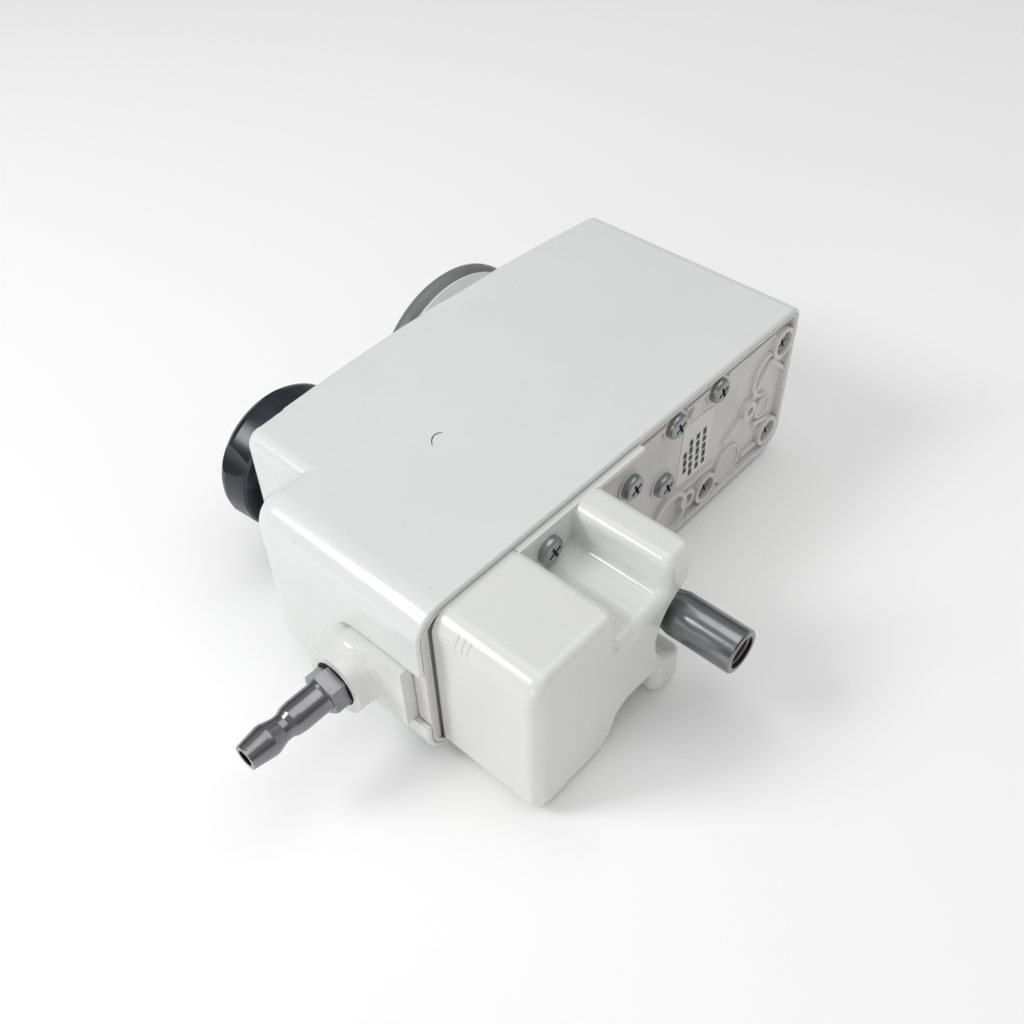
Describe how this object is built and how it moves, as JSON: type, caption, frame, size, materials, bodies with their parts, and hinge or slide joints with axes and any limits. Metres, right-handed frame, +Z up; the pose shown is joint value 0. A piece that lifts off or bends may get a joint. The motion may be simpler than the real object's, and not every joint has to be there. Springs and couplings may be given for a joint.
{
  "type": "wall vacuum regulator",
  "caption": "Wall vacuum regulator lying on its side: deep white cover with gauge ring and lobed knob, ribbed rear plate, threaded inlet tube and barbed hose nipple.",
  "frame": {"origin": "under the middle of the whole object, at its lowest point, the bottom of the gauge ring", "axes": "the object lies on its side: +X towards the hose nipple (down in use), +Y towards the wall and the inlet tube, +Z up, across the body"},
  "size_m": [0.2216, 0.162, 0.07],
  "materials": {
    "white_plastic": "gloss moulded",
    "white_plastic_rear": "gloss moulded",
    "cream_plastic": "gloss moulded",
    "grey_plastic": "fine grain moulded",
    "plug_plastic": "matte",
    "label": "printed film",
    "black_plastic": "gloss moulded",
    "dark_grey_plastic": "satin moulded",
    "chrome": "polished plating",
    "steel": "satin",
    "zinc_screw": "zinc plated",
    "spring_steel": "drawn wire",
    "aluminium": "cast and machined",
    "brass": "machined",
    "bronze": "drawn tube",
    "sintered": "sintered",
    "rubber": "moulded",
    "clear_hose": "soft tube",
    "dial": "painted",
    "pointer_paint": "satin paint",
    "lens": "clear polycarbonate"
  },
  "bodies": {
    "housing": {"front_cover": "white_plastic", "rear_chassis": "grey_plastic", "port_plugs": "plug_plastic", "rear_label": "label", "adapter_housing": "white_plastic_rear", "inlet_tube": "chrome", "inlet_filter": "sintered", "hose_nipple": "chrome", "nipple_seal": "rubber", "nipple_holder": "cream_plastic", "outlet_hose": "clear_hose", "gauge_bezel": "dark_grey_plastic", "gauge_lens": "lens", "gauge_case": "steel", "gauge_dial": "dial", "movement_frame": "brass", "bourdon_tube": "bronze", "gauge_socket": "brass", "gauge_hose": "clear_hose", "gauge_barb": "brass", "panel_nut": "steel", "bonnet": "aluminium", "bonnet_screws": "zinc_screw", "range_spring": "spring_steel", "diaphragm": "rubber", "regulator_body": "aluminium", "body_screws": "zinc_screw", "valve_seat": "rubber", "valve_plug": "brass", "poppet_spring": "spring_steel", "mount_bracket": "steel", "chassis_screws": "zinc_screw", "cover_screws": "zinc_screw", "adapter_screws": "zinc_screw"},
    "knob": {"control_knob": "black_plastic", "knob_cap": "dark_grey_plastic", "knob_spindle": "steel", "spindle_clip": "steel"},
    "spring_seat": {"spring_plate": "brass"},
    "valve": {"diaphragm_plate": "aluminium", "valve_poppet": "brass"},
    "pointer": {"gauge_pointer": "pointer_paint", "pinion_arbor": "brass"},
    "sector": {"sector_gear": "brass"},
    "link": {"sector_link": "brass"}
  },
  "joints": [
    {"name": "knob_turn", "type": "hinge", "parent": "housing", "child": "knob", "pos_m": [0.0312, -0.0676, 0.035], "axis": [0, 1, 0], "range_deg": [0, 1080]},
    {"name": "spring_seat_travel", "type": "slide", "parent": "housing", "child": "spring_seat", "axis": [0, 1, 0], "range_m": [0, 0.00385], "deforming": ["range_spring"]},
    {"name": "valve_travel", "type": "slide", "parent": "housing", "child": "valve", "axis": [0, 1, 0], "range_m": [0, 0.0012], "deforming": ["poppet_spring", "diaphragm"]},
    {"name": "pointer_turn", "type": "hinge", "parent": "housing", "child": "pointer", "pos_m": [-0.0408, -0.0626, 0.035], "axis": [0, 1, 0], "range_deg": [0, 270]},
    {"name": "sector_turn", "type": "hinge", "parent": "housing", "child": "sector", "pos_m": [-0.0264, -0.0626, 0.035], "axis": [0, 1, 0], "range_deg": [-55, 0]},
    {"name": "link_turn", "type": "hinge", "parent": "sector", "child": "link", "pos_m": [-0.02328, -0.0626, 0.03341], "axis": [0, 1, 0], "range_deg": [0, 55]}
  ],
  "couplings": [
    {"joint": "spring_seat_travel", "follows": "knob_turn", "m_per_rad": 0.00019894},
    {"joint": "sector_turn", "follows": "pointer_turn", "ratio": -0.2},
    {"joint": "link_turn", "follows": "pointer_turn", "ratio": 0.2}
  ]
}
